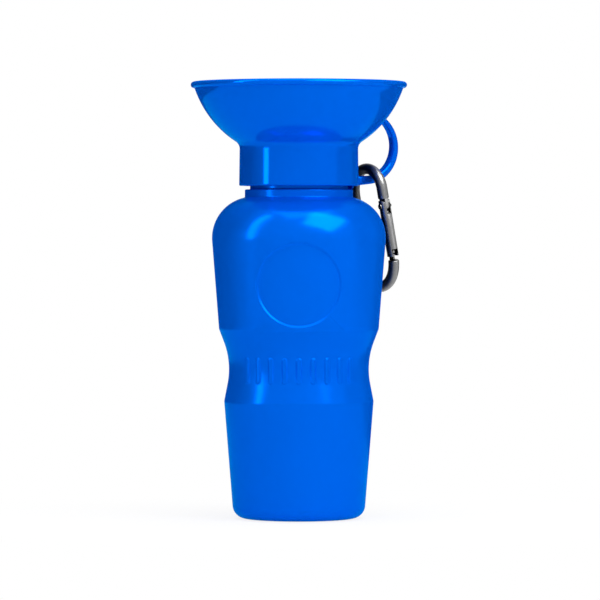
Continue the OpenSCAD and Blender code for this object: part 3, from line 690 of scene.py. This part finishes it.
def lid_outline(s):
    """Section of the lid, from the collar's open edge over bowl, rim, drinking floor, hole and
    spigot back to that edge, with the centre of the bowl's curve."""
    floor_edge, hole_edge, bore_step = 0.006, 0.003, 0.0004
    bowl_meets, rim_starts = -100, -80
    edge_rounding, floor_rounding = 0.0006, 0.0035
    hole_roundings = (0.0007, 0.0003, 0, 0.0005, 0.0005, 0.0006, 0.0008)
    rim_z = s.floor + s.bowl_depth
    bead = Vector((s.rim_radius - s.bead_radius, rim_z - s.bead_radius))
    end = bead + s.bead_radius * direction(radians(bowl_meets))
    centre_z = s.floor - s.bowl_sink + s.bowl_curve - s.bowl_wall
    rise = centre_z - end.y
    centre = Vector((end.x - sqrt(s.bowl_curve ** 2 - rise ** 2), centre_z))
    fillet = Vector((s.collar_top + s.collar_fillet,
                     centre.y - sqrt((s.bowl_curve + s.collar_fillet) ** 2
                                     - (s.collar_top + s.collar_fillet - centre.x) ** 2)))
    meet = degrees(atan2(centre.y - fillet.y, centre.x - fillet.x))
    inner = s.bowl_curve - s.bowl_wall
    floor_turn = -degrees(asin((centre.y - s.floor) / inner))
    lip_turn = -degrees(asin((centre.y - bead.y) / inner))
    lip = Vector((centre.x + inner * cos(radians(lip_turn)) + s.lip_rounding, rim_z - s.lip_rounding))
    bore = s.collar_top - s.collar_wall
    edge = Vector((s.collar_top + s.collar_draft, s.collar_edge))
    flank = arc(fillet, s.collar_fillet, 180, meet, steps=10)
    collar = [Vector((bore, s.collar_edge)), edge] + between(edge, flank[0], rows=5)
    bowl = arc(centre, s.bowl_curve, meet - 180, -degrees(asin(rise / s.bowl_curve)), steps=44)
    rim = arc(bead, s.bead_radius, rim_starts, 90, steps=16)
    rim += arc(lip, s.lip_rounding, 90, 180, steps=8)
    inside = arc(centre, inner, floor_turn, lip_turn, steps=40)[::-1]
    floor = [Vector((inside[-1].x - floor_edge, s.floor)), Vector((s.hole_radius + hole_edge, s.floor))]
    hole = [Vector(p) for p in (
        (s.hole_radius, s.floor), (s.hole_radius, s.floor - s.seat_height),
        (s.spigot_bore, s.floor - s.seat_height - bore_step),
        (s.spigot_bore, s.ceiling - s.spigot_length), (s.spigot_radius, s.ceiling - s.spigot_length),
        (s.spigot_radius, s.ceiling), (bore, s.ceiling), (bore, s.collar_edge))]
    to_floor = collar + flank + bowl[1:] + rim + inside
    radii = {1: edge_rounding, len(to_floor) - 1: floor_rounding}
    radii.update((len(to_floor + floor) + k, r) for k, r in enumerate(hole_roundings))
    return softened(to_floor + floor + hole, radii), centre


class BOTTLE_OT_bowl_lid(bpy.types.Operator):
    """Builds the drinking bowl with its collar, spigot, inner thread and carrying loop"""
    bl_idname = "bottle.make_bowl_lid"
    bl_label = "Bowl lid"

    def execute(self, context):
        s = context.scene.lid_sizes
        b = context.scene.bottle_sizes
        colours = context.scene.bottle_finishes
        outline, bowl_centre = lid_outline(s)
        bm = spun(outline, steps=256)
        crest_gap, ring_gap, thread_drop = 0.0006, 0.00175, 0.0021
        thread_ridge(bm, s.collar_top - s.collar_wall, b.neck_radius + crest_gap, root_width=0.0028,
                     crest_width=0.0014, height=s.collar_edge - ring_gap + b.thread_rise - thread_drop,
                     start=radians(104), turns=1.0, pitch=b.thread_pitch)
        self.strap(bm, s, bowl_centre)
        blue = plastic("moulded_blue", colours.lid_blue, roughness=0.09, drift=0.04, ripple=0.25,
                       grain=0.03, shine=colours.shine, level=0.0, pearl=colours.lid_pearl)
        piece("bowl_lid_shell", bm, "bowl_lid", blue, ["bowl_lid"])
        return {"FINISHED"}

    def strap_sections(self, s):
        """Runs of outer and inner point along the strap, from the collar round the loop to its top,
        with the centre of the loop's outer curve."""
        strap_lift, side_thickness, root_thickness, foot_angle = 0.001, 0.0034, 0.0042, 6
        rows, foot_rows, sweep = 60, 2, 183
        outer = Vector((s.strap_reach - s.strap_curve, s.collar_edge + s.strap_curve + strap_lift))
        inner = Vector((s.strap_reach - side_thickness - s.strap_inner,
                        outer.y - s.strap_curve + root_thickness + s.strap_inner))
        slope = tan(radians(foot_angle))
        tangent = outer + s.strap_curve * direction(radians(foot_angle - 90))
        foot = [s.collar_top - s.collar_wall / 2]
        foot += [s.collar_top + out for out in (0.0002, 0.0008, 0.0016, 0.0028, 0.005)]
        sections = [(Vector((x, tangent.y - (tangent.x - x) * slope)),
                     Vector((x, inner.y - s.strap_inner))) for x in foot]
        for k in range(foot_rows, rows + 1):
            along = direction(radians(-90 + sweep * k / rows))
            sections.append((outer + s.strap_curve * along, inner + s.strap_inner * along))
        return sections, outer

    def strap(self, bm, s, bowl_centre):
        """Sweeps a flat bar with rounded edges round the loop, flared where it meets collar and bowl,
        and ends it inside the bowl's wall."""
        reach, sunk, over_floor, past_centre = 0.0018, 0.0012, 0.004, 0.01
        sections, outer = self.strap_sections(s)
        rings = []
        for low, top in sections:
            middle = (low + top) / 2
            depth_in = s.bowl_curve - (middle - bowl_centre).length
            if middle.y > s.floor and depth_in > sunk and middle.x < outer.x + past_centre:
                break
            gap = min(abs(depth_in) if middle.y > s.floor + over_floor else reach,
                      max(0.0, middle.x - s.collar_top))
            flare = reach - sqrt(reach ** 2 - (reach - gap) ** 2) if gap < reach else 0.0
            across = (top - low).normalized()
            section = bar_section((top - low).length / 2 + flare, s.strap_width / 2 + flare)
            rings.append([turned_out(middle + across * t, w, s.strap_turn) for t, w in section])
        loft(bm, rings)


def turned_out(point, sideways, turn):
    """Puts a point of the strap's side view, and a step to its side, at the strap's angle."""
    return (point.x * cos(turn) - sideways * sin(turn), point.x * sin(turn) + sideways * cos(turn), point.y)


def bar_section(thick, wide, rounding=0.0015, steps=6):
    """Points of a rectangle with rounded corners, round the middle of a flat bar."""
    points = []
    for cx, cy, start in ((1, 1, 0), (-1, 1, 90), (-1, -1, 180), (1, -1, 270)):
        centre = Vector((cx * (thick - rounding), cy * (wide - rounding)))
        points += [centre + rounding * direction(radians(start + 90 * k / steps))
                   for k in range(steps + 1)]
    return points


# ---------------------------------------------------------------- the carabiner

def carabiner_space(s):
    """Matrix from the carabiner's flat drawing (x to the gate, y up, z out) to its place."""
    turn = Matrix.Rotation(s.facing - pi / 2, 4, "Z") @ Matrix.Rotation(pi / 2 + s.lean, 4, "X")
    return Matrix.Translation(s.hang) @ turn


def bar_path(s):
    """Centreline of the bent bar, from the end of the upper arm round to the nose."""
    left = s.spine - (s.nose_bend - s.top_bend)
    nose = Vector((s.top_bend - s.nose_bend, s.nose_bend - s.height))
    nose_turn = -degrees(asin((s.nose_end + nose.y) / s.nose_bend))
    arm_row, spine_middle = 0.002, -0.0336
    path = [Vector((s.top_bend, -s.arm_end)), Vector((s.top_bend, -s.arm_end + arm_row))]
    path += arc((0, -s.top_bend), s.top_bend, 0, 90, steps=18)
    path += arc((0, -s.spine), s.spine, 90, 180, steps=22)[1:]
    path += [Vector((-s.spine, spine_middle))]
    path += arc((left - s.spine, -s.height + left), left, 180, 270, steps=16)
    path += arc(nose, s.nose_bend, -90, nose_turn, steps=24)[1:]
    return path


def bar_ring(middle, ahead, radius, sides=28):
    """A ring of points round the bar, square to the way ahead."""
    side = Vector((-ahead.y, ahead.x))
    return [(middle.x + side.x * radius * cos(t), middle.y + side.y * radius * cos(t), radius * sin(t))
            for t in (2 * pi * k / sides for k in range(sides))]


def round_bar(bm, path, radius, rounding=0.0006, steps=5):
    """Skins a round bar along a flat path, with its two ends rounded over."""
    turns = [pi / 2 * k / steps for k in range(steps + 1)]
    rings = []
    last = len(path) - 1
    for i, p in enumerate(path):
        ahead = (path[min(i + 1, last)] - path[max(i - 1, 0)]).normalized()
        if i == 0:
            rings += [bar_ring(p + ahead * (rounding * (1 - cos(a))), ahead,
                               radius - rounding * (1 - sin(a))) for a in turns]
        elif i == last:
            rings += [bar_ring(p - ahead * (rounding * (1 - sin(a))), ahead,
                               radius - rounding * (1 - cos(a))) for a in turns]
        else:
            rings.append(bar_ring(p, ahead, radius))
    loft(bm, rings)


def half_round(start, steps):
    """Angles from a start to half a turn further."""
    return [start + pi * k / steps for k in range(steps + 1)]


def softened_copy(name, node, width, body, material):
    """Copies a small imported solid, joins its triangles and rounds its sharp edges over."""
    flat, corner = radians(1.0), radians(35)
    bm = bmesh.new()
    bm.from_mesh(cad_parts[node].data)
    bmesh.ops.remove_doubles(bm, verts=bm.verts, dist=2e-6)
    bmesh.ops.dissolve_limit(bm, angle_limit=flat, verts=bm.verts, edges=bm.edges)
    edges = [e for e in bm.edges if e.is_manifold and e.calc_face_angle(0) > corner]
    bmesh.ops.bevel(bm, geom=edges, offset=width, offset_type="OFFSET", segments=2, profile=0.5,
                    affect="EDGES", material=-1, clamp_overlap=True)
    piece(name, bm, body, material, [node], sharp=32, recalc=False)


class BOTTLE_OT_carabiner(bpy.types.Operator):
    """Builds the carabiner's bent bar, its gate, and the pins"""
    bl_idname = "bottle.make_carabiner"
    bl_label = "Carabiner"

    def execute(self, context):
        s = context.scene.carabiner_sizes
        colours = context.scene.bottle_finishes
        grey = metal("satin_grey_metal", colours.metal, rubbed=(0.75, 0.74, 0.72), roughness=0.32,
                     bare=0.72)
        bright = metal("pin_metal", colours.pin, rubbed=(0.9, 0.9, 0.88), roughness=0.28, wear=0.4)
        gate_softening, pin_softening = 0.00018, 0.00012
        bm = bmesh.new()
        round_bar(bm, bar_path(s), s.bar / 2)
        self.tongue(bm, s)
        self.nose_step(bm, s)
        bmesh.ops.transform(bm, matrix=carabiner_space(s), verts=bm.verts)
        piece("carabiner_bar", bm, "carabiner", grey, ["carabiner_body"])
        softened_copy("carabiner_gate_shell", "carabiner_gate", gate_softening, "gate",
                      grey)
        softened_copy("gate_rivet", "gate_pin", pin_softening, "carabiner", bright)
        softened_copy("latch_bolt", "latch_pin", pin_softening, "carabiner", bright)
        return {"FINISHED"}

    def tongue(self, bm, s):
        """The flat tongue under the upper arm, which the gate's fork turns on."""
        inset, half, sunk, middle_lift = 0.0003, 0.0011, 0.001, 0.0008
        softening, corner = 0.00025, 0.0001
        r, root = s.bar / 2 - inset, -s.arm_end + sunk
        outline = [Vector((s.top_bend + r * cos(t), -s.pin_drop + r * sin(t)))
                   for t in half_round(pi, steps=24)]
        outline += [Vector((s.top_bend + r, root)), Vector((s.top_bend - r, root))]
        middle = Vector((s.top_bend, -s.pin_drop + middle_lift))
        away = [(p - middle).normalized() for p in outline]
        edge = ((0.0, softening), (corner, corner), (softening, 0.0))
        levels = [(rise - half, shrink) for rise, shrink in edge]
        levels += [(half - rise, shrink) for rise, shrink in edge[::-1]]
        loft(bm, [[(p.x - out.x * shrink, p.y - out.y * shrink, z) for p, out in zip(outline, away)]
                  for z, shrink in levels])

    def nose_step(self, bm, s):
        """The half-round step on the inner side of the nose, beside the latch pin."""
        thinner, to_spine, sunk, softening = 0.0013, 0.001, 0.0008, 0.0002
        r, middle = s.bar / 2 - thinner, s.top_bend - to_spine
        turns = half_round(pi / 2, steps=16)
        levels = ((s.nose_end + sunk, 0), (s.step_end + softening, 0), (s.step_end, softening))
        loft(bm, [[(middle - shrink + (r - shrink) * cos(t), -drop, (r - shrink) * sin(t))
                   for t in turns] for drop, shrink in levels])


# ---------------------------------------------------------------- inner parts

class BOTTLE_OT_inner_parts(bpy.types.Operator):
    """Gives the valve stem, dip tube, seals, spring and plunger their finishes"""
    bl_idname = "bottle.finish_inner_parts"
    bl_label = "Inner parts"

    def execute(self, context):
        colours = context.scene.bottle_finishes
        white = plastic("valve_white", colours.valve_white, roughness=0.32, drift=0.03, ripple=0.3)
        clear = plastic("clear_tube", (0.86, 0.89, 0.91), roughness=0.16, drift=0.02, haze=0.03,
                        ripple=0.2, grain=0.02, through=0.7)
        silicone = plastic("silicone", colours.gasket, roughness=0.5, drift=0.05, grain=0.12)
        rubber = plastic("seal_rubber", colours.rubber, roughness=0.55, drift=0.2, haze=0.12,
                         scuffs=0.1, ripple=0.2, grain=0.25)
        steel = metal("spring_steel", (0.62, 0.62, 0.61), rubbed=(0.9, 0.9, 0.9), roughness=0.24,
                      wear=0.3)
        finishes = {"valve_stem": white, "dip_tube": clear, "lid_gasket": silicone,
                    "plug_ring": rubber, "spigot_ring": rubber, "gate_spring": steel,
                    "gate_plunger": steel}
        for node, material in finishes.items():
            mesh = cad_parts[node].data
            mesh.materials.clear()
            mesh.materials.append(material)
        return {"FINISHED"}


# ---------------------------------------------------------------- the studio

LIT_POINT = Vector((0, 0, 0.147))
WHITE = (1.0, 1.0, 1.0, 1.0)


def lamp(name, turn, lift, away, size, power, roll=0, gloss=True, colour=False):
    """A soft box turned from the front to the right and lifted, in degrees, as the shoulder sees it.
    It serves gloss, where it is mirrored, or colour, which it lights, or both."""
    turn, lift = radians(turn), radians(lift)
    data = bpy.data.lights.new(name, "AREA")
    data.shape = "RECTANGLE"
    data.size, data.size_y = size
    data.energy = power
    obj = bpy.data.objects.new(name, data)
    way = Vector((sin(turn) * cos(lift), -cos(turn) * cos(lift), sin(lift)))
    obj.location = LIT_POINT + away * way
    turned = way.to_track_quat("Z", "Y").to_matrix() @ Matrix.Rotation(radians(roll), 3, "Z")
    obj.rotation_euler = turned.to_euler()
    obj.visible_diffuse = colour
    obj.visible_glossy = gloss
    bpy.context.scene.collection.objects.link(obj)


def sheet(name, material, place):
    """A square of 1 m by 1 m, put in its place by a matrix."""
    bm = bmesh.new()
    bmesh.ops.create_grid(bm, x_segments=1, y_segments=1, size=0.5, matrix=place)
    return linked_object(name, bm, material)


def how_far(tree, place, point):
    return add(tree, "ShaderNodeVectorMath", {0: place, 1: point}, operation="DISTANCE").outputs["Value"]


def flag_cloth(name, start, length_of_run, height, levels):
    """A level that changes over the third next to the start, and that turns white towards the top."""
    fade_start, fade_end = 0.3, 0.9
    material, tree, surface = bare_material(name)
    place = own_place(tree)
    level = ranged(tree, how_far(tree, place, start), 0.0, length_of_run / 3, *levels)
    rise = add(tree, "ShaderNodeSeparateXYZ", {0: place}).outputs["Z"]
    fade = ranged(tree, rise, height * fade_start, height, high=fade_end)
    cloth = add(tree, "ShaderNodeEmission", {"Strength": maths(tree, "MAXIMUM", level, fade)})
    tree.links.new(cloth.outputs[0], tree.nodes["Material Output"].inputs["Surface"])
    tree.nodes.remove(surface)
    return material


def flag(name, start, end, height, levels, lying=False):
    """A dark card that stands or lies on the floor between two points, and that only gloss shows."""
    start, end = Vector((*start, 0)), Vector((*end, 0))
    run = end - start
    upright = Matrix.Translation((0, 0, height / 2)) @ Matrix.Rotation(pi / 2, 4, "X")
    place = (Matrix.Translation((start + end) / 2) @ Matrix.Rotation(atan2(run.y, run.x), 4, "Z")
             @ (Matrix() if lying else upright) @ Matrix.Diagonal((run.length, height, 1, 1)))
    obj = sheet(name, flag_cloth(name + "_cloth", start, run.length, height, levels), place)
    obj.visible_camera = obj.visible_diffuse = obj.visible_transmission = obj.visible_shadow = False


def seen_directly(tree):
    """1 for rays from the camera, a mirror or glass, 0 for rays that only carry light."""
    path = add(tree, "ShaderNodeLightPath")
    total = plus(tree, path.outputs["Is Camera Ray"], path.outputs["Is Glossy Ray"])
    return plus(tree, total, path.outputs["Is Transmission Ray"], clamp=True)


class BOTTLE_OT_studio(bpy.types.Operator):
    """Sets up the pale floor, the white surroundings, the soft boxes and the camera"""
    bl_idname = "bottle.make_studio"
    bl_label = "Studio"

    def execute(self, context):
        scene = context.scene
        drop, side = 0.0002, 6.0
        place = Matrix.Translation((0, 0, -drop)) @ Matrix.Diagonal((side, side, 1, 1))
        floor = sheet("studio_floor", self.floor_paint(scene.bottle_finishes.floor), place)
        self.surroundings(scene, level=(0.405, 0.405, 0.42, 1.0))
        lamp("key_box", 43, 43.5, away=1.2, size=(0.9, 0.9), power=20.0, roll=45)
        lamp("strip_box", -68.5, 28, away=1.3, size=(0.4, 1.5), power=12.5)
        lamp("side_fill", 50, 22, away=1.2, size=(0.6, 0.6), power=3.6, gloss=False, colour=True)
        lamp("front_fill", 5, 20, away=1.5, size=(0.9, 0.9), power=1.3, gloss=False, colour=True)
        lamp("high_fill", 5, 61, away=1.1, size=(0.8, 0.8), power=3.6, gloss=False, colour=True)
        lamp("top_box", 20, 84, away=1.1, size=(1.0, 1.0), power=9.0, colour=True)
        flag("flag_left", (-0.55, -0.2), (-0.55, 1.0), height=1.2, levels=(1.0, 0.0))
        flag("flag_back_left", (-0.55, 1.0), (-0.15, 1.3), height=1.2, levels=(0.0, 0.1))
        flag("flag_back_right", (0.75, 0.55), (0.25, 1.3), height=1.2, levels=(0.1, 0.1))
        flag("flag_right", (0.85, -0.2), (0.75, 0.55), height=1.2, levels=(1.0, 0.5))
        flag("flag_floor", (0.25, 0.28), (0.7, 1.0), height=0.55, levels=(0.0, 0.0), lying=True)
        self.camera(scene, eye=Vector((0.00055, -2.125, 0.149)), aim=Vector((0.00055, 0, 0.109)))
        scene.view_settings.view_transform = "Standard"
        return {"FINISHED"}

    def surroundings(self, scene, level):
        """A world that looks white and lights the object at a level of its own."""
        world = bpy.data.worlds.new("studio_world")
        scene.world = world
        world.use_nodes = True
        tree = world.node_tree
        seen = mixed(tree, seen_directly(tree), level, WHITE)
        tree.links.new(seen, tree.nodes["Background"].inputs["Color"])

    def camera(self, scene, eye, aim):
        """A long lens, so that the bottle shows with little perspective."""
        data = bpy.data.cameras.new("camera")
        data.lens = 255.2
        data.sensor_width = 36.0
        data.clip_start = 0.05
        obj = bpy.data.objects.new("camera", data)
        obj.location = eye
        obj.rotation_euler = (aim - obj.location).to_track_quat("-Z", "Y").to_euler()
        scene.collection.objects.link(obj)
        scene.camera = obj

    def floor_paint(self, colour):
        """A pale floor that keeps the object's shadow close to it and turns white further out."""
        fade_start, fade_end, whiteness = 0.05, 0.2, 0.84
        material, tree, surface = bare_material("floor_paint")
        surface.inputs["Base Color"].default_value = opaque(colour)
        surface.inputs["Roughness"].default_value = 0.9
        white = add(tree, "ShaderNodeEmission", {"Color": WHITE, "Strength": 1.0})
        away = how_far(tree, own_place(tree), (0, 0, 0))
        fade = ranged(tree, away, fade_start, fade_end, low=whiteness)
        factor = times(tree, seen_directly(tree), fade)
        blend = add(tree, "ShaderNodeMixShader", {0: factor, 1: surface.outputs[0], 2: white.outputs[0]})
        tree.links.new(blend.outputs[0], tree.nodes["Material Output"].inputs["Surface"])
        return material


class BOTTLE_PT_panel(bpy.types.Panel):
    """Sizes, colours and the steps that build the bottle"""
    bl_label = "Dog travel bottle"
    bl_space_type = "VIEW_3D"
    bl_region_type = "UI"
    bl_category = "Bottle"

    def draw(self, context):
        for operator in STEPS:
            self.layout.operator(operator.bl_idname)
        for name in SETTINGS:
            box = self.layout.box()
            group = getattr(context.scene, name)
            for key in group.bl_rna.properties.keys():
                if key not in ("rna_type", "name"):
                    box.prop(group, key)


SETTINGS = {"bottle_sizes": BottleSizes, "lid_sizes": LidSizes, "carabiner_sizes": CarabinerSizes,
            "bottle_finishes": Finishes}
STEPS = (BOTTLE_OT_body, BOTTLE_OT_bowl_lid, BOTTLE_OT_carabiner, BOTTLE_OT_inner_parts,
         BOTTLE_OT_studio)


def register():
    for cls in (*SETTINGS.values(), *STEPS, BOTTLE_PT_panel):
        bpy.utils.register_class(cls)
    for name, cls in SETTINGS.items():
        setattr(bpy.types.Scene, name, PointerProperty(type=cls))


def unregister():
    for name in SETTINGS:
        delattr(bpy.types.Scene, name)
    for cls in (BOTTLE_PT_panel, *STEPS, *SETTINGS.values()):
        bpy.utils.unregister_class(cls)


def main():
    register()
    bpy.ops.bottle.make_body()
    bpy.ops.bottle.make_bowl_lid()
    bpy.ops.bottle.make_carabiner()
    bpy.ops.bottle.finish_inner_parts()
    bpy.ops.bottle.make_studio()


if __name__ == "__main__":
    main()
